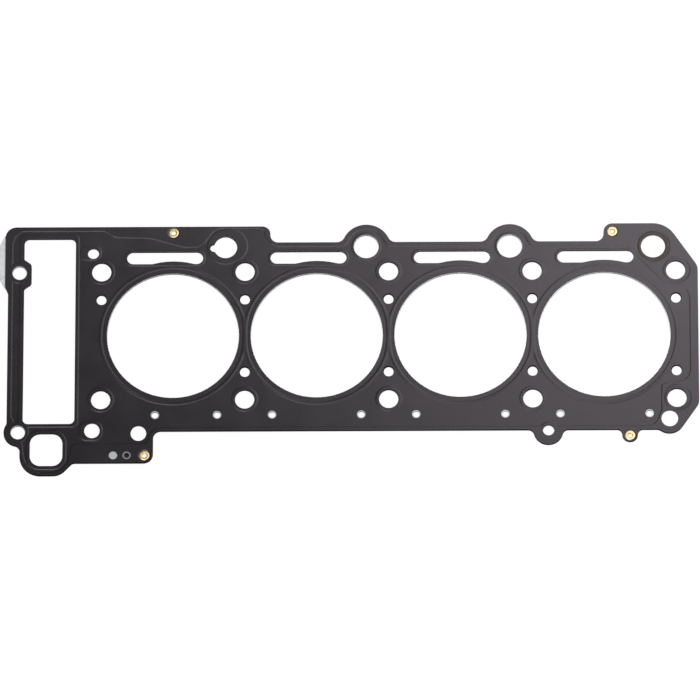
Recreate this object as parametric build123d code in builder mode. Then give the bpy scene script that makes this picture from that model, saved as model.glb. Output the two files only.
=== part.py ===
from build123d import *
import os
from math import atan, atan2, asin, cos, degrees, hypot, pi, sin, sqrt

os.makedirs("parts", exist_ok=True)

# Frame: +X along the row of bores, +Y across the gasket towards the slotted rail, +Z up.
# The origin is the centre of the head-bolt pattern, on the plane that the gasket lies on.

# Layers, in millimetres
sheet = 0.30             # coated spring-steel sheet
carrier = 1.20           # bare middle sheet
bead_height = 0.25       # rise of the embossed beads
lower_z = bead_height
carrier_z = lower_z + sheet
upper_z = carrier_z + carrier
top_z = upper_z + sheet

# Bores and their embossed beads
bore_count = 4
bore_r = 44.65
bore_web = 7.70          # narrowest land between two bores
pitch = 2 * bore_r + bore_web
bore_stop = 0.35         # how far the middle sheet stands into each bore
bead_land = 2.80         # flat rim between the bore and its bead
bead_width = 2.90
bead_inner_r = bore_r + bead_land
bead_outer_r = bead_inner_r + bead_width
bead_flank = 0.90        # width of a sloped flank, seen from above
bead_web = 1.60          # half width of the merged bead between two bores
bead_blend = 12.0        # turn of the inner foot into the web
bead_cusp = 3.0          # turn of the outer foot over the web
flank_angle = degrees(atan(bead_flank / bead_height))

# Head bolts, coolant and metering holes
bolt_row = 45.8
bolt_r = 6.85
bolt_step = 0.35         # how far the middle sheet stands into each bolt hole
coolant_row = 26.0
coolant_r = 3.75
coolant_gap = 0.60       # how far the middle sheet stands back from a coolant hole
coolant_lip = 0.45       # how far the lower sheet narrows a coolant hole
metering_row = 56.75
metering_offset = 30.0   # from a bore's centre to either side
metering_start = 11.85   # but the first hole of the row stands this near to the first bore's centre
metering_r = 2.90
metering_step = 0.80     # how much smaller the hole in the middle sheet is

# Edges of the gasket
rail_y = 66.7
head_y = 78.3
right_head_y = 79.5
skirt_y = 68.2
foot_y = 90.75
sump_y = 99.6
carrier_inset = 0.30     # how far the middle sheet's edge stays behind the others
set_back = 0.60          # how far the two lower sheets stay behind the upper one at some holes
left_edge = 65.3         # from the first bolt column to the upper left edge
left_rail = 63.2         # and to the lower left edge
right_edge = 14.95       # from the last bolt column to the right edge
block_reach = 16.9       # how far the upper left block passes the second bolt column
head_start = 0.3         # where the upper right block starts, left of the last bore's centre
block_slope = 0.3        # lean of the blocks' short ends
shoulder_x = 6.1         # from the last bolt column back to the upper right shoulder
shoulder_low_y = 48.6    # lower end of the slanted shoulder
heel_start_y = 49.4      # where the right edge turns in to the heel
foot_x = 35.5            # right end of the foot, from the first bolt column
foot_left_x = 18.6       # left end of the foot's lower edge
sump_right_x = 27.2      # right end of the breather block's lower edge
sump_left_x = 54.3       # left end of it
jog_top_y = 35.6         # small step in the left edge
jog_low_y = 30.6

# Corner radii of the edge
head_left_r = 7.5
block_r = 5.5
rail_r = 5.2
right_head_r = 6.0
shoulder_r = 17.5
right_upper_r = 9.0
right_lower_r = 8.0
skirt_r = 5.0
foot_r = 6.5
foot_left_r = 3.5
sump_right_r = 11.0
sump_left_r = 14.0
jog_r = 4.0

# Timing chest window, left of the first bolt column
window_left = 52.4
window_right = 17.6
window_top = 69.9
window_bottom = 63.0
window_r = 3.5
lobe_x = 47.4            # how far left of the column the upper lug's lobe reaches
lobe_top = 51.4
lobe_bottom = 37.4
lobe_slant = 3.5         # height of the lobe's slanted ends
lobe_r = 3.0
lobe_root_r = 2.0
lug_x = 55.5
lug_top_y = 45.4
lug_low_y = 68.9
lug_hole_r = 4.97
lug_r = 9.65
lug_blend = 4.0

# Breather hole at the lower left
breather_x = 36.35
breather_y = 81.6
breather_w = 21.9
breather_h = 22.6
breather_r = 7.0

# Slots along the rail, measured from each bore's centre
slot_left = 31.4
slot_width = 8.90
slot_land = 1.0          # between the bead's foot and the slot
slot_arch = 1.95         # how much the arch over the bead gives way
slot_bottom = bead_outer_r + slot_land
slot_arch_r = slot_bottom + slot_arch
slot_arch_blend = 6.0
slot_straight = 1.365    # lower edge between the arch and the round right end
slot_right = sqrt(slot_arch_r**2 - slot_bottom**2) + slot_straight + slot_width / 2
slot_end_flat = 0.1      # the little that the round ends fall short of half circles

# Ears for the long bolts on the rail, measured from a bore's centre
ear_x = 33.45
ear_y = 62.7
ear_r = 16.6
ear_blend = 5.5
ear_hole_y = 63.58
ear_hole_r = 8.5

# Keyed hole in the upper left block
keyed_x = 35.2
keyed_y = 63.4
keyed_r = 7.87
key_x = 27.5             # from the first bore's centre
key_y = 62.8
key_r = 2.7
key_blend = 1.0

# Single holes in the end blocks
vent_x = 5.7
vent_y = 59.2
vent_r = 3.8
cover_x = 5.66
cover_y = 68.0
cover_r = 5.19
step_x = 25.63
step_y = 69.93
step_r = 5.23
drain_x = 10.3
drain_y = 68.6
drain_r = 3.81
drain_hole_x = 0.15      # hole's place beside the ear's centre
drain_ear_y = 68.7
drain_ear_r = 10.0
drain_blend = 4.0
heel_x = 5.03
heel_y = 60.7
heel_r = 5.60
heel_ear_x = 0.2         # ear's centre beside the hole's
heel_ear_y = 60.6
heel_ear_r = 10.3
heel_blend = 4.0

# Oil feed with its moulded seal
oil_x = 15.1
oil_y = 63.1
oil_r = 8.20
seal_r = 10.80
seal_root_r = 9.60       # bottom of the groove that grips the middle sheet
seal_fit = 0.05
seal_land = 0.20         # flat foot of the lip on each side

# Brass eyelets that hold the layers together
eyelet_bore_r = 1.35
eyelet_wall = 0.30
eyelet_flange_r = 3.35
eyelet_fit = 0.05
eyelet_mouth = 0.20      # funnel of the eyelet's ends
eyelet_row = 73.9
right_eyelet_x = 5.9     # from the last bore's centre
foot_eyelet_x = 29.7     # from the first bolt column
foot_eyelet_y = 85.6
tab_x = 16.7             # small round tab under the last bore, from that bore's centre
tab_y = 71.6
tab_r = 5.3
tab_blend = 3.5
tab_eyelet_y = 72.6

# Inspection windows near the lower left eyelet
window_disc_x = 8.7
window_ring_x = 17.8
window_row = 85.4
window_r_top = 2.90
window_r_middle = 1.80

# Round tab of the middle sheet, beyond the left edge
tag_y = 53.5
tag_reach = 6.0
tag_radius = 33.0
tag_root = 2.0           # how far the tab's shape starts inside the edge

# Bore centres and bolt columns
bores = [(i - (bore_count - 1) / 2) * pitch for i in range(bore_count)]
columns = [(i - bore_count / 2) * pitch for i in range(bore_count + 1)]
first = columns[0]
last = columns[-1]


# Centres of the round ears that stand out of the gasket's edge
rail_ears = [(bores[1] + ear_x, ear_y), (bores[2] + ear_x, ear_y)]
drain_ear = (columns[-2] + drain_x, -drain_ear_y)
eyelet_tab = (bores[-1] + tab_x, -tab_y)
heel_ear = (last - heel_x - heel_ear_x, -heel_ear_y)
lug_ear = (first - lug_x, -lug_low_y)


def tangent_point(x, y, centre, r):
    """Where the line from x, y touches the right side of a circle below it."""
    dx = centre[0] - x
    dy = centre[1] - y
    heading = atan2(dy, dx) + asin(r / hypot(dx, dy))
    return (centre[0] + r * cos(heading + pi / 2), centre[1] + r * sin(heading + pi / 2))


def meets(centre, r):
    """Says whether a corner of the sketch lies on a circle."""
    return lambda v: abs(hypot(v.X - centre[0], v.Y - centre[1]) - r) < 0.001


def gasket_edge():
    """The outer edge that all three sheets share, as a face without holes."""
    block_x = columns[1] + block_reach
    head_x = bores[-1] - head_start
    heel = tangent_point(last + right_edge, -heel_start_y, heel_ear, heel_ear_r)
    corners = [
        (first - left_edge, head_y, head_left_r),
        (block_x, head_y, block_r),
        (block_x + block_slope, rail_y, rail_r),
        (head_x, rail_y, rail_r),
        (head_x + 2 * block_slope, right_head_y, right_head_r),
        (last - shoulder_x, right_head_y, shoulder_r),
        (last + right_edge, shoulder_low_y, right_upper_r),
        (last + right_edge, -heel_start_y, right_lower_r),
        (heel[0], heel[1], 0),
        (heel_ear[0], heel_ear[1], 0),
        (heel_ear[0], -skirt_y, 0),
        (first + foot_x, -skirt_y, skirt_r),
        (first + foot_x, -foot_y, foot_r),
        (first - foot_left_x, -foot_y, foot_left_r),
        (first - sump_right_x, -sump_y, sump_right_r),
        (first - sump_left_x, -sump_y, sump_left_r),
        (first - sump_left_x, -lug_low_y, 0),
        (first - left_rail, -lug_low_y, 0),
        (first - left_rail, jog_low_y, jog_r),
        (first - left_edge, jog_top_y, jog_r),
    ]
    with BuildLine() as run:
        FilletPolyline(*[(x, y) for x, y, _ in corners], radius=[r for _, _, r in corners], close=True)
    with BuildSketch() as edge:
        make_face(run.edges())
        with Locations(*rail_ears):
            Circle(ear_r)
        with Locations(drain_ear):
            Circle(drain_ear_r)
        with Locations(eyelet_tab):
            Circle(tab_r)
        with Locations(heel_ear):
            Circle(heel_ear_r)
        with Locations(lug_ear):
            Circle(lug_r)
        for centre in rail_ears:
            fillet(edge.vertices().filter_by(meets(centre, ear_r)), ear_blend)
        fillet(edge.vertices().filter_by(meets(drain_ear, drain_ear_r)), drain_blend)
        fillet(edge.vertices().filter_by(meets(eyelet_tab, tab_r)), tab_blend)
        fillet(edge.vertices().filter_by(meets(heel_ear, heel_ear_r)).sort_by(Axis.X)[0], heel_blend)
        fillet(edge.vertices().filter_by(meets(lug_ear, lug_r)), lug_blend)
    return edge.sketch


def window_corners():
    """Corners of the timing chest window, with the lug of the upper bolt hole standing into it."""
    left = first - window_left
    right = first - window_right
    return [
        (left, window_top, window_r),
        (right, window_top, window_r),
        (right, -window_bottom, window_r),
        (left, -window_bottom, window_r),
        (left, lobe_bottom - lobe_slant, lobe_root_r),
        (first - lobe_x, lobe_bottom, lobe_r),
        (first - lobe_x, lobe_top, lobe_r),
        (left, lobe_top + lobe_slant, lobe_root_r),
    ]


def punch_window():
    """Cuts the timing chest window out of the sketch."""
    corners = window_corners()
    with BuildLine() as run:
        FilletPolyline(*[(x, y) for x, y, _ in corners], radius=[r for _, _, r in corners], close=True)
    make_face(run.edges(), mode=Mode.SUBTRACT)


def slot_shape():
    """One rail slot about a bore at the origin: round ends and an arch over the bore's bead."""
    end_r = slot_width / 2
    length = slot_left + slot_right
    with BuildSketch() as slot:
        with Locations(((slot_right - slot_left) / 2, slot_bottom + end_r)):
            RectangleRounded(length, slot_width, end_r - slot_end_flat)
        Circle(slot_arch_r, mode=Mode.SUBTRACT)
        fillet(slot.vertices().filter_by(meets((0, 0), slot_arch_r)), slot_arch_blend)
    return slot.sketch


def punch_slots():
    """Cuts one slot beside each bore."""
    slot = slot_shape()
    for x in bores:
        add(slot.moved(Location((x, 0))), mode=Mode.SUBTRACT)


def punch_breather(wider):
    """Cuts the rounded square breather hole, wider on each side by the given amount."""
    with Locations((first - breather_x, -breather_y)):
        RectangleRounded(breather_w + 2 * wider, breather_h + 2 * wider, breather_r + wider,
                         mode=Mode.SUBTRACT)


def punch_keyed_hole():
    """Cuts the round hole in the upper left block, with the small key on its left."""
    with BuildSketch() as keyed:
        with Locations((bores[0] + keyed_x, keyed_y)):
            Circle(keyed_r)
        with Locations((bores[0] + key_x, key_y)):
            Circle(key_r)
        offset(amount=key_blend, mode=Mode.REPLACE)
        offset(amount=-key_blend, mode=Mode.REPLACE)
    add(keyed.sketch, mode=Mode.SUBTRACT)


def punch(places, r):
    """Cuts a round hole at each place."""
    with Locations(*places):
        Circle(r, mode=Mode.SUBTRACT)


# Places of the round holes
bolts = [(x, side * bolt_row) for x in columns for side in (1, -1)]
coolant = [(x, coolant_row) for x in columns] + [(x, -coolant_row) for x in columns[1:]]
metering_x = [x + side * metering_offset for x in bores for side in (-1, 1)]
metering_x[0] = bores[0] - metering_start
metering = [(x, -metering_row) for x in metering_x]
ear_holes = [(bores[1] + ear_x, ear_hole_y), (bores[2] + ear_x, ear_hole_y)]
lug_holes = [(first - lug_x, lug_top_y), (first - lug_x, -lug_low_y)]
oil_hole = (last - oil_x, oil_y)
eyelets = [
    (bores[0], eyelet_row),
    (bores[-1] + right_eyelet_x, eyelet_row),
    (eyelet_tab[0], -tab_eyelet_y),
    (first + foot_eyelet_x, -foot_eyelet_y),
]
plain_singles = [
    ((first - vent_x, vent_y), vent_r),
    ((columns[-2] + drain_x + drain_hole_x, -drain_y), drain_r),
]
stepped_singles = [
    ((first - cover_x, -cover_y), cover_r),
    ((first + step_x, -step_y), step_r),
    ((last - heel_x, -heel_y), heel_r),
]


def blank(inset, wider, bolt_inset, bore_size, coolant_size, metering_size, oil_size):
    """One sheet seen from above: the shared edge and every opening that all three have."""
    with BuildSketch() as flat:
        add(gasket_edge())
        if inset > 0:
            offset(amount=-inset, kind=Kind.INTERSECTION, mode=Mode.REPLACE)
        punch_window()
        punch_slots()
        punch_breather(wider)
        punch_keyed_hole()
        punch([(x, 0) for x in bores], bore_size)
        punch(bolts, bolt_r - bolt_inset)
        punch(coolant, coolant_size)
        punch(metering, metering_size)
        punch(ear_holes, ear_hole_r - bolt_inset)
        punch(lug_holes, lug_hole_r - bolt_inset)
        punch(eyelets, eyelet_bore_r + eyelet_wall + eyelet_fit)
        punch([oil_hole], oil_size)
        for place, r in plain_singles:
            punch([place], r)
        for place, r in stepped_singles:
            punch([place], r + wider)
    return flat.sketch


def tag():
    """The bulging tab that shows past the left edge."""
    edge_x = first - left_edge
    with BuildSketch() as bulge:
        with Locations((edge_x - tag_reach + tag_radius, tag_y)):
            Circle(tag_radius)
        with Locations((edge_x + tag_root, tag_y)):
            Rectangle(tag_radius, 2 * tag_radius, align=(Align.MAX, Align.CENTER), mode=Mode.INTERSECT)
    return bulge.sketch


def bead_foot(r):
    """The outer side of the joined bore beads, with its cusps over the webs rounded off."""
    with BuildSketch() as foot:
        with Locations(*[(x, 0) for x in bores]):
            Circle(r)
        cusp = (r * r - pitch * pitch / 4) ** 0.5
        fillet(foot.vertices().filter_by(lambda v: abs(abs(v.Y) - cusp) < 0.001), bead_cusp)
    return foot.sketch


def bead_core(r, half_width):
    """The bore's side of one bead, flattened where it runs beside the next bore's bead."""
    with BuildSketch() as core:
        Circle(r)
        Rectangle(2 * half_width, 2 * r, mode=Mode.INTERSECT)
        fillet(core.vertices(), bead_blend)
    return core.sketch


def bore_beads():
    """The embossed ridge round all the bores, standing on the plane z = 0."""
    with BuildPart() as core:
        with BuildSketch():
            add(bead_core(bead_inner_r + bead_flank, pitch / 2 - bead_web + bead_flank))
        extrude(amount=bead_height, taper=flank_angle)
    turned = core.part.rotate(Axis.X, 180).moved(Location((0, 0, bead_height)))
    with BuildPart() as beads:
        with BuildSketch():
            add(bead_foot(bead_outer_r))
        extrude(amount=bead_height, taper=flank_angle)
        for x in bores:
            add(turned.moved(Location((x, 0, 0))), mode=Mode.SUBTRACT)
    return beads.part


def seal_ring():
    """The moulded ring: a lip above and below, and a groove that grips the middle sheet."""
    crest = (oil_r + seal_r) / 2
    lip_in = oil_r + seal_land
    lip_out = seal_r - seal_land
    with BuildPart() as ring:
        with BuildSketch(Plane.XZ):
            with BuildLine():
                Polyline((lip_in, lower_z), (oil_r, lower_z), (oil_r, top_z), (lip_in, top_z))
                ThreePointArc((lip_in, top_z), (crest, top_z + bead_height), (lip_out, top_z))
                Polyline((lip_out, top_z), (seal_r, top_z), (seal_r, upper_z), (seal_root_r, upper_z),
                         (seal_root_r, carrier_z), (seal_r, carrier_z), (seal_r, lower_z),
                         (lip_out, lower_z))
                ThreePointArc((lip_out, lower_z), (crest, 0), (lip_in, lower_z))
            make_face()
        revolve(axis=Axis.Z)
    return ring.part


def eyelet():
    """One rolled tube with a flange at each end, about the axis x = y = 0."""
    outer_z = top_z + bead_height
    barrel_r = eyelet_bore_r + eyelet_wall
    mouth_r = eyelet_bore_r + eyelet_mouth
    with BuildPart() as tube:
        with BuildSketch(Plane.XZ):
            with BuildLine():
                Polyline((eyelet_bore_r, eyelet_mouth), (eyelet_bore_r, outer_z - eyelet_mouth),
                         (mouth_r, outer_z), (eyelet_flange_r, outer_z), (eyelet_flange_r, top_z),
                         (barrel_r, top_z), (barrel_r, lower_z), (eyelet_flange_r, lower_z),
                         (eyelet_flange_r, 0), (mouth_r, 0), close=True)
            make_face()
        revolve(axis=Axis.Z)
    return tube.part


beads = bore_beads()

with BuildPart() as upper_bead_sheet:
    with BuildSketch(Plane.XY.offset(upper_z)):
        add(blank(0, 0, 0, bore_r, coolant_r, metering_r, seal_r + seal_fit))
        punch([(first + window_disc_x, -window_row), (first + window_ring_x, -window_row)], window_r_top)
    extrude(amount=sheet)
    add(beads.moved(Location((0, 0, top_z))))
    add(beads.moved(Location((0, 0, upper_z))), mode=Mode.SUBTRACT)
upper_bead_sheet.part.label = "upper_bead_sheet"

with BuildPart() as middle_sheet:
    with BuildSketch(Plane.XY.offset(carrier_z)):
        add(blank(carrier_inset, set_back, bolt_step, bore_r - bore_stop, coolant_r + coolant_gap,
                  metering_r - metering_step, seal_root_r))
        add(tag())
        punch([(first + window_ring_x, -window_row)], window_r_middle)
    extrude(amount=carrier)
middle_sheet.part.label = "middle_sheet"

with BuildPart() as lower_bead_sheet:
    with BuildSketch(Plane.XY.offset(lower_z)):
        add(blank(0, set_back, 0, bore_r, coolant_r - coolant_lip, metering_r, seal_r + seal_fit))
    extrude(amount=sheet)
    sunk = mirror(beads, about=Plane.XY, mode=Mode.PRIVATE)
    add(sunk.moved(Location((0, 0, lower_z))))
    add(sunk.moved(Location((0, 0, carrier_z))), mode=Mode.SUBTRACT)
lower_bead_sheet.part.label = "lower_bead_sheet"

with BuildPart() as oil_seal_ring:
    with Locations((oil_hole[0], oil_hole[1], 0)):
        add(seal_ring())
oil_seal_ring.part.label = "oil_seal_ring"

for sheet_part in (upper_bead_sheet, middle_sheet, lower_bead_sheet, oil_seal_ring):
    export_step(sheet_part.part, "parts/" + sheet_part.part.label + ".step")

for number, (x, y) in enumerate(eyelets, start=1):
    with BuildPart(Location((x, y, 0))) as tube:
        add(eyelet())
    tube.part.label = "eyelet_" + str(number)
    export_step(tube.part, "parts/" + tube.part.label + ".step")
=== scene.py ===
import bpy
import bmesh
import numpy as np
from math import cos, hypot, pi, radians, sin, sqrt
from mathutils import Matrix, Vector
from mathutils.geometry import delaunay_2d_cdt
from mathutils.kdtree import KDTree


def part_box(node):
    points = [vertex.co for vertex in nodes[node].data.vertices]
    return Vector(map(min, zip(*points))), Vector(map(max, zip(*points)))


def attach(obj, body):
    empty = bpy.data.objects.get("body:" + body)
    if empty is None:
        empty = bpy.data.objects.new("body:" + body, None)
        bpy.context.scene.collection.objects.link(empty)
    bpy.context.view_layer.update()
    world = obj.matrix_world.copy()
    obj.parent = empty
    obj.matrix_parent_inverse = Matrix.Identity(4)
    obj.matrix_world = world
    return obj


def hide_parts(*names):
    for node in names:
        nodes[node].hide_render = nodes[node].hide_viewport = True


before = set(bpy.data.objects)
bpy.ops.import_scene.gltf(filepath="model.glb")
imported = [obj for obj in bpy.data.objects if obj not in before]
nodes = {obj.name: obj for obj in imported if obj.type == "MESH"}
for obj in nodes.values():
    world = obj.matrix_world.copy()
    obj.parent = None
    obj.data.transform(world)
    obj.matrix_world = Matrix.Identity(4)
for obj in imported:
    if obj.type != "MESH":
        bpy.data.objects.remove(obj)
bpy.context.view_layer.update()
scene = bpy.context.scene
MM = 0.001

# Materials of a sheet's polygons, in the order of its material slots
FACE, CUT, PAINTED_SHADE, DARKER, WORN = range(5)

# Sizes of the sheets, in millimetres
pitch = 97.0
sheet = 0.30  # thickness of a bead sheet
core = 1.20  # thickness of the middle sheet
rise = 0.25  # height of the beads and of the raised strips
flank = 1.10  # width of a strip's flank
bead_in = 47.45  # the bead round a bore stands between two radii
bead_out = 50.35
bead_flank = 1.35
bead_web = 1.60  # half the bead's width in a web between two bores
edge_rise = 0.10  # how far a bead sheet's edge is lifted at a bore
edge_width = 2.8

# Levels of the sheets' lower faces
lower_z = rise
middle_z = lower_z + sheet
upper_z = middle_z + core

# Rounds where two forms of the relief meet: rim and strip, ear and strip, beads, bead and web
rim_round = 0.8
ear_round = 5.0
bead_round = 3.0
web_round = 2.5

# Spacing of the sheets' mesh: points of round holes, of straight runs, on the relief and elsewhere
round_step = 0.9
straight_step = 2.5
fine_step = 0.5
coarse_step = 5.0
fine_gap = 0.22  # least distance of a fine point from the outline
coarse_gap = 1.2  # least distance of a coarse point from the outline and from fine points
place_points = 40  # points on the circle round each place of another material
long_side = 1.2  # a triangle with a longer side than this is coarse
foot_reach = 0.7  # how far from the middle of a strip's flank its foot reaches

# Places of the holes
bores = [(i - 1.5) * pitch for i in range(4)]
columns = [(i - 2) * pitch for i in range(5)]
bolt_row = 45.8
coolant_row = 26.0
metering_row = -56.75
metering = [bores[0] - 11.85] + [b + side * 30.0 for b in bores for side in (-1, 1)][1:]
ear_holes = [(-15.05, 63.58), (81.95, 63.58)]

# Border between the low field and the raised strip along the gasket's edge
border = [
    (-254.3, 66), (-252.6, 71.5), (-248, 75.3), (-192.5, 75.3), (-189.5, 73.6), (-186, 71.2),
    (-182, 70.6), (-163, 70.2), (-157, 68.8), (-147, 65.7), (-138.5, 63.5), (-129.5, 63.5),
    (-124.5, 66.5), (-121, 71.5), (-118, 75.3), (-114.5, 77), (-88, 77), (-84.5, 75),
    (-82.6, 70.5), (-79.5, 65.8), (-75, 63.7), (158, 63.7), (162, 62.8), (165.5, 59),
    (168.5, 55.5), (184.5, 38.7), (187.5, 36.3), (191, 35.2), (197.5, 34.2), (201.2, 31.8),
    (203.1, 27.5), (203.3, 24), (203.3, -26), (202.4, -30), (199.5, -33), (195, -34.5),
    (187, -35), (184.3, -36.2), (183.7, -39), (183.7, -54), (182.3, -58), (180.8, -62),
    (178, -65), (174, -65.8), (-153, -65.8), (-158, -67), (-161, -70), (-161.8, -74),
    (-163.5, -76.6), (-167, -77.3), (-211, -77.3), (-213.5, -79), (-214.2, -83), (-215.5, -89),
    (-219.5, -94.5), (-224, -97.2), (-229, -97.8), (-234, -97.6), (-240, -95), (-244.3, -90),
    (-246, -84), (-246.2, -79), (-249.5, -69), (-252.5, -61.5), (-254.3, -57),
]

# Raised rims: round ones as centre and radius, square ones as two corners and a corner radius
round_rims = [((x, side * bolt_row), 8.7) for x in columns[:4] for side in (1, -1)]
round_rims += [(hole, 9.8) for hole in ear_holes] + [((107.45, -68.6), 5.6)]
round_rims += [((-110.3, 63.4), 12.2), ((-107.4, 64.4), 12.0)]
round_rims += [((-249.5, 45.4), 7.4), ((-249.5, -68.9), 7.2)]
round_rims += [((columns[4], side * bolt_row), 8.2) for side in (1, -1)]
square_rims = [
    ((-249.5, -65.2), (-209.3, 73.0), 4.0),
    ((-208.5, 54.5), (-194.4, 64.4), 4.0),
    ((-208.6, -74.9), (-192.8, -61.3), 5.5),
    ((-243.8, -95.4), (-217.0, -67.5), 9.0),
]
square_rims += [((b - 32.8, 50.1), (b + 21.5, 61.3), 5.0) for b in bores]

# Low places inside the raised strips, as centre and radius: round the two ear holes, moats round
# two bolt holes, and the seats of the eyelets and of the seal
ears = [(hole, 12.6) for hole in ear_holes]
moats = [((columns[4], bolt_row), 9.7), ((columns[4], -bolt_row), 9.5)]
seats = [((-145.5, 73.9), 3.95), ((151.4, 73.9), 3.95), ((162.2, -72.6), 3.95)]
seats += [((-164.3, -85.6), 3.95), ((178.9, 63.1), 11.5)]

# Places of the bare sheet in other materials, as centre, radius and material: painted shade round the
# bolt holes, on the steps inside the holes' far sides, which fall in shade; a darker ring and a
# duller disc in the two round windows of the foot; and duller steel round the metering holes
stains_and_painted_shade = [((x, side * bolt_row), 8.9, PAINTED_SHADE) for x in columns for side in (1, -1)]
stains_and_painted_shade += [((-176.2, -85.4), 4.6, DARKER), ((-185.3, -85.4), 4.4, WORN)]
stains_and_painted_shade += [((x, metering_row), 4.0, WORN) for x in metering]

# Painted shade: the lower sheet's lips in the coolant holes take the punched edges' black, as if in
# shade
painted_shade_lips = [((x, coolant_row), 4.3, CUT) for x in columns]
painted_shade_lips += [((x, -coolant_row), 4.3, CUT) for x in columns[1:]]


def smooth_max(a, b, k):
    """The larger of two fields, with a round of size k where they cross."""
    h = np.clip(0.5 + 0.5 * (a - b) / k, 0, 1)
    return b + (a - b) * h + k * h * (1 - h)


def smooth_min(a, b, k):
    """The smaller of two fields, with a round of size k where they cross."""
    return -smooth_max(-a, -b, k)


def smooth_step(t):
    """Goes from 0 to 1 as t does, level at both ends."""
    t = np.clip(t, 0, 1)
    return t * t * (3 - 2 * t)


def outside_polygon(x, y, corners):
    """Signed distance to a polygon, positive outside it."""
    best = np.full(x.shape, np.inf)
    inside = np.zeros(x.shape, bool)
    for (ax, ay), (bx, by) in zip(corners, corners[1:] + corners[:1]):
        ex, ey = bx - ax, by - ay
        t = np.clip(((x - ax) * ex + (y - ay) * ey) / (ex * ex + ey * ey), 0, 1)
        best = np.minimum(best, np.hypot(x - ax - t * ex, y - ay - t * ey))
        if ay != by:
            inside ^= ((ay > y) != (by > y)) & (x < ax + (y - ay) * ex / ey)
    return np.where(inside, -best, best)


def inside_box(x, y, low, high, r):
    """Signed distance to a rounded box, positive inside it."""
    qx = np.abs(x - (low[0] + high[0]) / 2) - (high[0] - low[0]) / 2 + r
    qy = np.abs(y - (low[1] + high[1]) / 2) - (high[1] - low[1]) / 2 + r
    return r - np.hypot(np.maximum(qx, 0), np.maximum(qy, 0)) - np.minimum(np.maximum(qx, qy), 0)


def raised(x, y):
    """Signed distance into the raised strips and rims."""
    field = outside_polygon(x, y, border)
    for (cx, cy), r in ears:
        field = smooth_min(field, np.hypot(x - cx, y - cy) - r, ear_round)
    for (cx, cy), r in moats:
        field = np.minimum(field, np.hypot(x - cx, y - cy) - r)
    for (cx, cy), r in round_rims:
        field = smooth_max(field, r - np.hypot(x - cx, y - cy), rim_round)
    for low, high, r in square_rims:
        field = smooth_max(field, inside_box(x, y, low, high, r), rim_round)
    for (cx, cy), r in seats:
        field = np.minimum(field, np.hypot(x - cx, y - cy) - r)
    return field


def bead(x, y):
    """Distance into the embossed bead that runs round every bore and joins in the webs."""
    radial = [np.hypot(x - b, y) for b in bores]
    near = radial[0]
    for r in radial[1:]:
        near = smooth_min(near, r, bead_round)
    depth = bead_out - near
    for b, r in zip(bores, radial):
        inner = r - bead_in
        for side in (-1, 1):
            if b + side * pitch in bores:
                web = side * (x - b) - pitch / 2 + bead_web
                inner = smooth_max(inner, web, web_round)
        depth = np.minimum(depth, inner)
    return depth


def height(x, y):
    """How far the sheet's face stands above its flat field, in millimetres."""
    strips = rise * smooth_step(raised(x, y) / flank + 0.5)
    ridge = rise * smooth_step(bead(x, y) / bead_flank)
    lift = np.maximum(strips, ridge)
    for b in bores:
        edge = np.clip((bead_in - np.hypot(x - b, y)) / edge_width, 0, 1)
        lift = np.maximum(lift, edge_rise * edge)
    return lift


def near_relief(x, y):
    """Whether a point is on or beside the flank of a strip, a rim or the bead."""
    ridge = bead(x, y)
    return (np.abs(raised(x, y)) < 0.8) | ((ridge > -0.35) & (ridge < 2))


def relief_normals(x, y, way):
    """Normals of the relief: way is 1 for beads that rise, -1 for beads that sink, 0 for none."""
    d = 0.03
    slope_x = way * (height(x + d, y) - height(x - d, y)) / (2 * d)
    slope_y = way * (height(x, y + d) - height(x, y - d)) / (2 * d)
    up = np.stack([-slope_x, -slope_y, np.ones(len(x))], 1)
    return up / np.linalg.norm(up, axis=1)[:, None]


def circle(centre, r, n):
    """Points round a circle."""
    turn = 2 * pi * np.arange(n) / n
    return np.stack([centre[0] + r * np.cos(turn), centre[1] + r * np.sin(turn)], 1)


def finer(loop):
    """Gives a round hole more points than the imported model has, and splits long straight runs."""
    p = np.array(loop)
    centre = (p.max(0) + p.min(0)) / 2
    radius = np.hypot(*(p - centre).T)
    if radius.std() < 0.01:
        r = radius.mean()
        return circle(centre, r, int(np.clip(2 * pi * r / round_step, 48, 320)))
    out = []
    for a, b in zip(p, np.roll(p, -1, 0)):
        n = max(1, int(hypot(*(b - a)) / straight_step))
        out += [a + (b - a) * i / n for i in range(n)]
    return np.array(out)


def outline_loops(node, z):
    """The closed edges of a sheet's upper face at height z, as arrays of points in millimetres."""
    mesh = bmesh.new()
    mesh.from_mesh(nodes[node].data)
    bmesh.ops.remove_doubles(mesh, verts=mesh.verts, dist=2e-6)
    after = {}
    for edge in mesh.edges:
        off_level = any(abs(v.co.z / MM - z) > 0.01 for v in edge.verts)
        if off_level or len(edge.link_faces) != 2:
            continue
        tilts = [abs(f.normal.z) for f in edge.link_faces]
        if max(tilts) > 0.9 and min(tilts) < 0.1:
            a, b = edge.verts
            after.setdefault(a.index, []).append(b.index)
            after.setdefault(b.index, []).append(a.index)
    mesh.verts.ensure_lookup_table()
    loops = []
    left = set(after)
    while left:
        loop = []
        onward = [min(left)]
        while onward:
            loop.append(onward[0])
            left.discard(onward[0])
            onward = [n for n in after[loop[-1]] if n in left]
        loops.append([(mesh.verts[i].co.x / MM, mesh.verts[i].co.y / MM) for i in loop])
    mesh.free()
    return [finer(loop) for loop in loops if len(loop) > 2]


def within(x, y, start, end):
    """Whether places x on the horizontal line at y are inside the outlines."""
    hit = (start[:, 1] > y) != (end[:, 1] > y)
    a, b = start[hit], end[hit]
    cuts = np.sort(a[:, 0] + (y - a[:, 1]) * (b[:, 0] - a[:, 0]) / (b[:, 1] - a[:, 1]))
    return np.searchsorted(cuts, x) % 2 == 1


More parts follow.
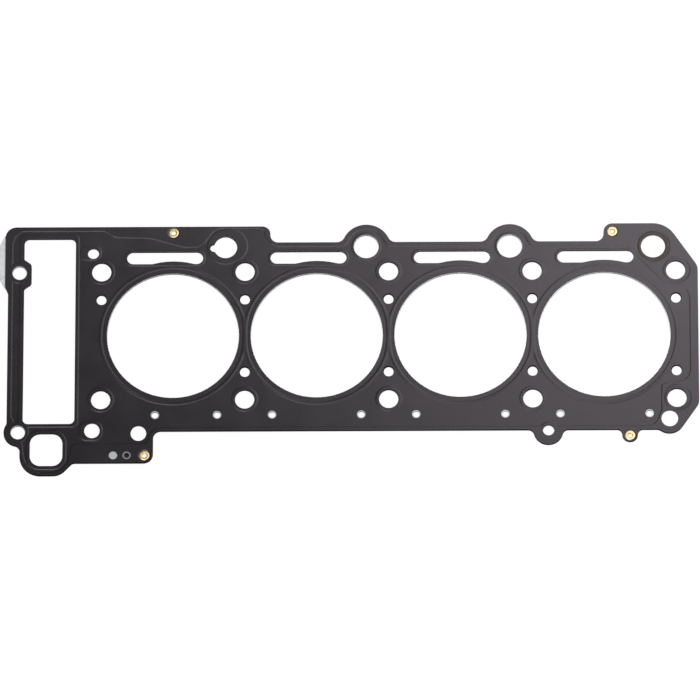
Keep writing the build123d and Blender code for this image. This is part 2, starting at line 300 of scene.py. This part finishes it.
def lattice(step, start, end, wanted):
    """Points of a triangular grid inside the outlines, where the function says they are wanted."""
    low, high = start.min(0), start.max(0)
    found = []
    row = 0
    y = low[1] + step / 2
    while y < high[1]:
        xs = np.arange(low[0] + (row % 2) * step / 2, high[0], step)
        xs = xs[within(xs, y, start, end)]
        if len(xs):
            keep = wanted(xs, np.full(xs.shape, y))
            found.append(np.stack([xs[keep], np.full(keep.sum(), y)], 1))
        row += 1
        y += step * sqrt(3) / 2
    return np.concatenate(found)


def clear_of(points, others, gap):
    """The points that are more than gap away from the others."""
    tree = KDTree(len(others))
    for i, p in enumerate(others):
        tree.insert((p[0], p[1], 0), i)
    tree.balance()
    return np.array([p for p in points if tree.find((p[0], p[1], 0))[2] > gap])


def sheet_points(start, end, way, places):
    """The outline's points, fine ones on the relief and round the places, and coarse ones."""
    rim = np.concatenate([start + (end - start) * t for t in (0, 0.25, 0.5, 0.75)])
    fine = lattice(fine_step, start, end, near_relief) if way else np.empty((0, 2))
    for centre, r, _ in places:
        ring = circle(centre, r, place_points)
        fine = np.concatenate([fine, ring[[within(x, y, start, end) for x, y in ring]]])
    fine = clear_of(fine, rim, fine_gap)
    coarse = lattice(coarse_step, start, end, lambda x, y: ~near_relief(x, y) | (way == 0))
    coarse = clear_of(coarse, np.concatenate([rim, fine]), coarse_gap)
    return np.concatenate([start, fine, coarse])


def triangulate(points, loops, start, end):
    """Triangles between the outlines, which come first in points, and the edges of the outlines."""
    edges = []
    for loop in loops:
        base, n = len(edges), len(loop)
        edges += [(base + i, base + (i + 1) % n) for i in range(n)]
    vectors = [Vector(p) for p in points]
    verts, _, faces, origin, _, _ = delaunay_2d_cdt(vectors, edges, [], 0, 1e-5)
    xy = np.array([(v[0], v[1]) for v in verts])
    tri = np.array([f for f in faces if len(f) == 3])
    first = np.array([min(o) if o else len(points) for o in origin])

    # Only a triangle whose corners are all on the outline can lie in a hole or outside the sheet
    rim_only = (first[tri] < len(start)).all(1)
    middle = xy[tri].mean(1)
    keep = ~rim_only
    for i in np.nonzero(rim_only)[0]:
        keep[i] = within(middle[i, 0], middle[i, 1], start, end)
    tri = tri[keep]
    a, b = xy[tri[:, 1]] - xy[tri[:, 0]], xy[tri[:, 2]] - xy[tri[:, 0]]
    turned = a[:, 0] * b[:, 1] - a[:, 1] * b[:, 0] < 0
    tri[turned] = tri[turned][:, ::-1]
    place = {int(o): i for i, o in enumerate(first)}
    return xy, tri, [(place[a], place[b]) for a, b in edges]


def cut_walls(xy, rim, start, end):
    """The quads of the cut edges, wound to face outwards, and the way that each one faces."""
    n = len(xy)
    walls = np.array([(i, j, j + n, i + n) for i, j in rim])
    run = xy[walls[:, 1]] - xy[walls[:, 0]]
    out = np.stack([run[:, 1], -run[:, 0]], 1)
    out /= np.linalg.norm(out, axis=1)[:, None]
    probe = (xy[walls[:, 0]] + xy[walls[:, 1]]) / 2 + 0.02 * out
    for k, (x, y) in enumerate(probe):
        if within(x, y, start, end):
            out[k] = -out[k]
            walls[k] = walls[k][::-1]
    return walls, out


def wall_normals(walls, out, n):
    """Normals of the walls' corners, smooth between walls that face nearly the same way."""
    meeting = {}
    for wall, facing in zip(walls, out):
        for v in wall:
            meeting.setdefault(int(v) % n, []).append(facing)
    normals = []
    for wall, facing in zip(walls, out):
        for v in wall:
            mean = np.mean([way for way in meeting[int(v) % n] if way @ facing > 0.8], 0)
            mean /= np.linalg.norm(mean)
            normals.append((mean[0], mean[1], 0))
    return np.array(normals)


def sharpen(mesh, rims):
    """Marks the edges in rims, which are pairs of vertices, as sharp."""
    ends = np.empty(2 * len(mesh.edges), np.int32)
    mesh.edges.foreach_get("vertices", ends)
    ends = np.sort(ends.reshape(-1, 2), 1).astype(np.int64)
    rims = np.sort(rims, 1)
    count = len(mesh.vertices)
    sharp = np.isin(ends[:, 0] * count + ends[:, 1], rims[:, 0] * count + rims[:, 1])
    mesh.attributes.new("sharp_edge", "BOOLEAN", "EDGE").data.foreach_set("value", sharp)


def new_object(name, data):
    """A new object, linked to the scene."""
    made = bpy.data.objects.new(name, data)
    scene.collection.objects.link(made)
    return made


def from_bmesh(name, mesh):
    """A new object with the finished bmesh."""
    data = bpy.data.meshes.new(name)
    mesh.to_mesh(data)
    mesh.free()
    return new_object(name, data)


def sheet_piece(name, node, low_z, thick, way, face_skin, places):
    """A sheet on its node's outline, with the relief that way gives and places of other skins."""
    loops = outline_loops(node, low_z + thick)
    start = np.concatenate(loops)
    end = np.concatenate([np.roll(loop, -1, 0) for loop in loops])
    points = sheet_points(start, end, way, places)
    xy, tri, rim = triangulate(points, loops, start, end)
    walls, out = cut_walls(xy, rim, start, end)
    x, y = xy.T
    n = len(xy)
    lift = way * height(x, y)
    top = np.column_stack([xy, low_z + thick + lift])
    bottom = np.column_stack([xy, low_z + lift])
    polygons = [tuple(t) for t in tri] + [tuple(t + n) for t in tri[:, ::-1]]
    polygons += [tuple(w) for w in walls]
    mesh = bpy.data.meshes.new(name)
    mesh.from_pydata((np.concatenate([top, bottom]) * MM).tolist(), [], polygons)
    mesh.polygons.foreach_set("use_smooth", [True] * len(polygons))

    kinds = np.full(len(polygons), FACE, np.int32)
    kinds[2 * len(tri):] = CUT
    middle = xy[tri].mean(1)
    for (cx, cy), r, kind in places:
        kinds[:len(tri)][np.hypot(middle[:, 0] - cx, middle[:, 1] - cy) < r] = kind
    for skin in (face_skin, cut_edge, painted_shade_steel, darker_steel, worn):
        mesh.materials.append(skin)
    mesh.polygons.foreach_set("material_index", kinds)

    # A long triangle at the foot of a flank stays flat, so that no shade runs into the field
    shade = relief_normals(x, y, way)[tri]
    coarse = np.linalg.norm(xy[tri] - xy[np.roll(tri, 1, 1)], axis=2).max(1) > long_side
    foot = np.abs(raised(x, y)) < foot_reach
    shade[coarse[:, None] & foot[tri]] = (0, 0, 1)
    faces = [shade.reshape(-1, 3), -shade[:, ::-1].reshape(-1, 3)]
    sharpen(mesh, np.concatenate([walls[:, :2], walls[:, 2:]]))
    mesh.normals_split_custom_set(np.concatenate(faces + [wall_normals(walls, out, n)]).tolist())
    mesh.update()
    return new_object(name, mesh)


def eyelet_piece(name, node):
    """A rolled tubular eyelet on its node's axis: a throat with a domed flange at each end."""
    low, high = np.array(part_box(node))
    cx, cy, mid = (low + high) / 2 / MM
    flange_r, _, half = (high - low) / 2 / MM
    lip = half - rise

    # Radius and height of the upper half's points: up the throat, over the flange, down the barrel
    upper = [
        (1.52, 0.0), (1.53, lip - 0.30), (1.57, lip - 0.08), (1.67, lip + 0.08),
        (1.84, lip + 0.18), (2.10, half - 0.01), (2.35, half), (2.65, half - 0.02),
        (2.95, half - 0.07), (flange_r - 0.15, half - 0.14), (flange_r, lip + 0.05),
        (flange_r, lip), (1.65, lip), (1.65, 0.0),
    ]
    profile = upper + [(r, -z) for r, z in upper[-2:0:-1]]
    turns = 64
    mesh = bmesh.new()
    rings = []
    for k in range(turns):
        a = 2 * pi * k / turns
        ring = [((cx + r * cos(a)) * MM, (cy + r * sin(a)) * MM, (mid + z) * MM) for r, z in profile]
        rings.append([mesh.verts.new(point) for point in ring])
    for here, there in zip(rings, rings[1:] + rings[:1]):
        for i in range(len(profile)):
            j = (i + 1) % len(profile)
            mesh.faces.new((here[i], there[i], there[j], here[j]))
    bmesh.ops.recalc_face_normals(mesh, faces=mesh.faces)
    for face in mesh.faces:
        face.smooth = True
    for edge in mesh.edges:
        if edge.calc_face_angle(0) > 1.0:
            edge.smooth = False
    made = from_bmesh(name, mesh)
    made.data.materials.append(brass)
    return made


# Range that most of a noise pattern's values are in
pattern = (0.3, 0.7)


def material(name):
    """A new node material with its tree and its Principled shader."""
    made = bpy.data.materials.new(name)
    made.use_nodes = True
    return made, made.node_tree, made.node_tree.nodes["Principled BSDF"]


def noise(tree, scale, detail, stretch=(1, 1, 1)):
    """A noise pattern in the part's own coordinates."""
    where = tree.nodes.new("ShaderNodeTexCoord")
    mapping = tree.nodes.new("ShaderNodeMapping")
    mapping.inputs["Scale"].default_value = stretch
    made = tree.nodes.new("ShaderNodeTexNoise")
    made.inputs["Scale"].default_value = scale
    made.inputs["Detail"].default_value = detail
    tree.links.new(where.outputs["Object"], mapping.inputs["Vector"])
    tree.links.new(mapping.outputs["Vector"], made.inputs["Vector"])
    return made.outputs["Fac"]


def ramp(tree, value, dark, pale):
    """Runs from one colour to another over a pattern's range."""
    made = tree.nodes.new("ShaderNodeValToRGB")
    for element, position, colour in zip(made.color_ramp.elements, pattern, (dark, pale)):
        element.position = position
        element.color = (*colour, 1)
    tree.links.new(value, made.inputs["Fac"])
    return made.outputs["Color"]


def spread(tree, value, limits, low, high):
    """Runs from low to high as a value goes from one limit to the other."""
    made = tree.nodes.new("ShaderNodeMapRange")
    made.inputs["From Min"].default_value = limits[0]
    made.inputs["From Max"].default_value = limits[1]
    made.inputs["To Min"].default_value = low
    made.inputs["To Max"].default_value = high
    tree.links.new(value, made.inputs["Value"])
    return made.outputs["Result"]


def across(tree, axis, reach, low, high):
    """Runs from low to high along one of the part's own axes, within reach of its middle."""
    where = tree.nodes.new("ShaderNodeTexCoord")
    split = tree.nodes.new("ShaderNodeSeparateXYZ")
    tree.links.new(where.outputs["Object"], split.inputs["Vector"])
    return spread(tree, split.outputs[axis], (-reach, reach), low, high)


def mix_colours(tree, factor, first, second):
    """Goes from the first colour to the second as the factor goes from 0 to 1."""
    made = tree.nodes.new("ShaderNodeMix")
    made.data_type = "RGBA"
    tree.links.new(factor, made.inputs["Factor"])
    tree.links.new(first, made.inputs[6])
    tree.links.new(second, made.inputs[7])
    return made.outputs[2]


def bump(tree, shader, value, depth, strength):
    """Lets a pattern move the surface in shading alone, by depth in metres."""
    made = tree.nodes.new("ShaderNodeBump")
    made.inputs["Distance"].default_value = depth
    made.inputs["Strength"].default_value = strength
    tree.links.new(value, made.inputs["Height"])
    tree.links.new(made.outputs["Normal"], shader.inputs["Normal"])


def coated_material():
    """Black rubber coat on spring steel: satin, with faint clouds and a fine grain, and painted
    light: darker towards -Y and lighter towards +Y and towards +X.
    """
    made, tree, shader = material("coated_steel_skin")
    clouds = noise(tree, 55, 4)
    grain = noise(tree, 1400, 3)
    mixed = tree.nodes.new("ShaderNodeMix")
    mixed.data_type = "FLOAT"
    mixed.inputs["Factor"].default_value = 0.4
    tree.links.new(clouds, mixed.inputs["A"])
    tree.links.new(grain, mixed.inputs["B"])
    both = mixed.outputs["Result"]
    # Painted light: the coat's colour runs from painted shade towards -Y to painted light towards +Y
    coat_in_painted_shade = ramp(tree, both, (0.006, 0.0053, 0.0060), (0.014, 0.0124, 0.0138))
    coat_in_painted_light = ramp(tree, both, (0.023, 0.0208, 0.0230), (0.039, 0.0352, 0.0388))
    shade = mix_colours(tree, across(tree, "Y", 0.075, 0.0, 1.0), coat_in_painted_shade, coat_in_painted_light)
    # Painted light: the coat's colour is also scaled up from the part's left end to its right end
    scaled = tree.nodes.new("ShaderNodeVectorMath")
    scaled.operation = "SCALE"
    tree.links.new(shade, scaled.inputs["Vector"])
    tree.links.new(across(tree, "X", 0.200, 0.82, 1.26), scaled.inputs["Scale"])
    tree.links.new(scaled.outputs["Vector"], shader.inputs["Base Color"])
    tree.links.new(spread(tree, both, pattern, 0.35, 0.41), shader.inputs["Roughness"])
    shader.inputs["Specular Tint"].default_value = (1.0, 0.91, 1.0, 1)
    bump(tree, shader, grain, 0.00002, 0.25)
    return made


def edge_material():
    """Punched edges, with painted light: painted shade where they face along the sheet, painted
    glints where they face its ends.
    """
    made, tree, shader = material("punched_edge_skin")
    lines = noise(tree, 1200, 3, (1, 1, 6))
    where = tree.nodes.new("ShaderNodeNewGeometry")
    split = tree.nodes.new("ShaderNodeSeparateXYZ")
    level = tree.nodes.new("ShaderNodeMath")
    level.operation = "ABSOLUTE"
    tree.links.new(where.outputs["True Normal"], split.inputs["Vector"])
    tree.links.new(split.outputs["X"], level.inputs[0])
    # Painted light: how far an edge faces along X sets how much painted glint it gets against painted
    # shade
    facing = spread(tree, level.outputs["Value"], (0.35, 0.75), 0, 1)
    painted_shade_edge = ramp(tree, lines, (0.012, 0.011, 0.012), (0.030, 0.028, 0.030))
    painted_glint_edge = ramp(tree, lines, (0.42, 0.41, 0.41), (0.72, 0.71, 0.70))
    tree.links.new(mix_colours(tree, facing, painted_shade_edge, painted_glint_edge), shader.inputs["Base Color"])
    tree.links.new(spread(tree, lines, pattern, 0.55, 0.75), shader.inputs["Roughness"])
    shader.inputs["Specular IOR Level"].default_value = 0.15
    bump(tree, shader, lines, 0.00001, 0.3)
    return made


def grained_material(name, grain, dark, pale, rough, metallic, relief):
    """One noise pattern in colour, roughness and bump: grain is its scale, detail and stretch."""
    made, tree, shader = material(name)
    value = noise(tree, *grain)
    tree.links.new(ramp(tree, value, dark, pale), shader.inputs["Base Color"])
    tree.links.new(spread(tree, value, pattern, *rough), shader.inputs["Roughness"])
    shader.inputs["Metallic"].default_value = metallic
    bump(tree, shader, value, *relief)
    return made


def steel_material(name, dark, pale, stretch=(1, 1, 1)):
    """Bare rolled steel: its fine scratches run the way that the pattern is stretched."""
    grain = (900, 3, stretch)
    return grained_material(name, grain, dark, pale, (0.54, 0.66), 1.0, (0.00001, 0.3))


def dress(node, skin):
    """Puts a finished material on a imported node."""
    slots = nodes[node].material_slots
    for place in slots:
        place.material = skin
    if not slots:
        nodes[node].data.materials.append(skin)


coated = coated_material()
cut_edge = edge_material()
bare = steel_material("bare_steel_skin", (0.82, 0.84, 0.85), (0.91, 0.93, 0.94), (0.10, 1, 1))
# Painted shade: dark steel for the steps inside the bolt holes, whose far sides are in shade
painted_shade_steel = steel_material("painted_shade_steel_skin", (0.05, 0.047, 0.045), (0.11, 0.105, 0.10))
worn = steel_material("worn_steel_skin", (0.50, 0.525, 0.54), (0.58, 0.605, 0.62))
darker_steel = steel_material("darker_steel_skin", (0.26, 0.25, 0.245), (0.36, 0.35, 0.34))
brass = grained_material(
    "eyelet_brass_skin", (700, 3), (0.66, 0.49, 0.24), (0.84, 0.67, 0.38),
    (0.38, 0.52), 1.0, (0.00002, 0.3))
rubber = grained_material(
    "seal_rubber_skin", (500, 4), (0.020, 0.0105, 0.007), (0.046, 0.025, 0.017),
    (0.42, 0.58), 0.0, (0.00003, 0.4))

upper, middle, lower = "upper_bead_sheet", "middle_sheet", "lower_bead_sheet"
pieces = {
    upper: sheet_piece("upper_sheet_relief", upper, upper_z, sheet, 1, coated, []),
    middle: sheet_piece("middle_sheet_punched", middle, middle_z, core, 0, bare, stains_and_painted_shade),
    lower: sheet_piece("lower_sheet_relief", lower, lower_z, sheet, -1, coated, painted_shade_lips),
}
dress(upper, coated)
dress(lower, coated)
dress(middle, bare)
dress("oil_seal_ring", rubber)
for i in range(1, 5):
    node = f"eyelet_{i}"
    dress(node, brass)
    pieces[node] = eyelet_piece(f"eyelet_{i}_rolled", node)
for node, piece in pieces.items():
    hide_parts(node)
    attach(piece, "root")

# Floor, just under the part: it keeps a little shade, and shows white to the camera and to metal
floor_size = 14.0
floor_drop = 0.00002
floor_white = 1.04
floor_share = 0.9
grid = bmesh.new()
bmesh.ops.create_grid(grid, x_segments=2, y_segments=2, size=floor_size / 2)
floor = from_bmesh("floor", grid)
floor.location.z = -floor_drop
skin, tree, shader = material("floor_skin")
shader.inputs["Base Color"].default_value = (0.85, 0.85, 0.85, 1)
shader.inputs["Roughness"].default_value = 0.9
shader.inputs["Specular IOR Level"].default_value = 0.0
path = tree.nodes.new("ShaderNodeLightPath")
glow = tree.nodes.new("ShaderNodeEmission")
glow.inputs["Color"].default_value = (floor_white, floor_white, floor_white, 1)
seen = tree.nodes.new("ShaderNodeMath")
seen.operation = "MAXIMUM"
tree.links.new(path.outputs["Is Camera Ray"], seen.inputs[0])
tree.links.new(path.outputs["Is Glossy Ray"], seen.inputs[1])
tree.links.new(seen.outputs["Value"], glow.inputs["Strength"])
blend = tree.nodes.new("ShaderNodeMixShader")
blend.inputs["Fac"].default_value = floor_share
tree.links.new(shader.outputs["BSDF"], blend.inputs[1])
tree.links.new(glow.outputs["Emission"], blend.inputs[2])
tree.links.new(blend.outputs["Shader"], tree.nodes["Material Output"].inputs["Surface"])
floor.data.materials.append(skin)

# World: white to the camera, and a weak fill for everything else
world_fill = 0.15
world = bpy.data.worlds.new("studio")
world.use_nodes = True
scene.world = world
tree = world.node_tree
sky = tree.nodes["Background"]
sky.inputs["Color"].default_value = (1, 1, 1, 1)
path = tree.nodes.new("ShaderNodeLightPath")
strength = spread(tree, path.outputs["Is Camera Ray"], (0, 1), world_fill, 1.0)
tree.links.new(strength, sky.inputs["Strength"])


def panel(name, place, aim, size, power):
    """A square soft lamp that faces a point."""
    data = bpy.data.lights.new(name, "AREA")
    data.shape = "SQUARE"
    data.size = size
    data.energy = power
    made = new_object(name, data)
    made.location = place
    made.rotation_euler = (Vector(aim) - Vector(place)).to_track_quat("-Z", "Y").to_euler()
    made.visible_camera = False


panel("front_lamp", (-0.40, -0.60, 1.45), (0, 0, 0), 0.8, 12)
panel("overhead_lamp", (0.50, 0.43, 0.70), (0.50, 0.43, 0), 1.0, 7.4)

# Camera, at the photograph's viewing angle
photo_size = 700
sensor = 36
elevation, azimuth, roll = radians(70.1343), radians(-1.9259), radians(-2.0424)
focal_pixels, shift_x, shift_y, zoom = 10108.4, 38.6604, -14.2272, 1.482
tilt = Matrix((
    (1, 0, 0),
    (0, -sin(elevation), -cos(elevation)),
    (0, cos(elevation), -sin(elevation))))
spin = Matrix(((cos(azimuth), -sin(azimuth), 0), (sin(azimuth), cos(azimuth), 0), (0, 0, 1)))
bank = Matrix(((cos(roll), -sin(roll), 0), (sin(roll), cos(roll), 0), (0, 0, 1)))
view = bank @ tilt @ spin
offset = Vector((shift_x / zoom, shift_y / zoom, focal_pixels / zoom)) * MM
camera_data = bpy.data.cameras.new("camera")
camera_data.sensor_width = sensor
camera_data.lens = focal_pixels / photo_size * sensor
camera_data.clip_end = 50
camera = new_object("camera", camera_data)
turn = Matrix((view[0], -view[1], -view[2])).transposed().to_4x4()
camera.matrix_world = Matrix.Translation(-(view.transposed() @ offset)) @ turn
scene.camera = camera

scene.view_settings.view_transform = "Standard"
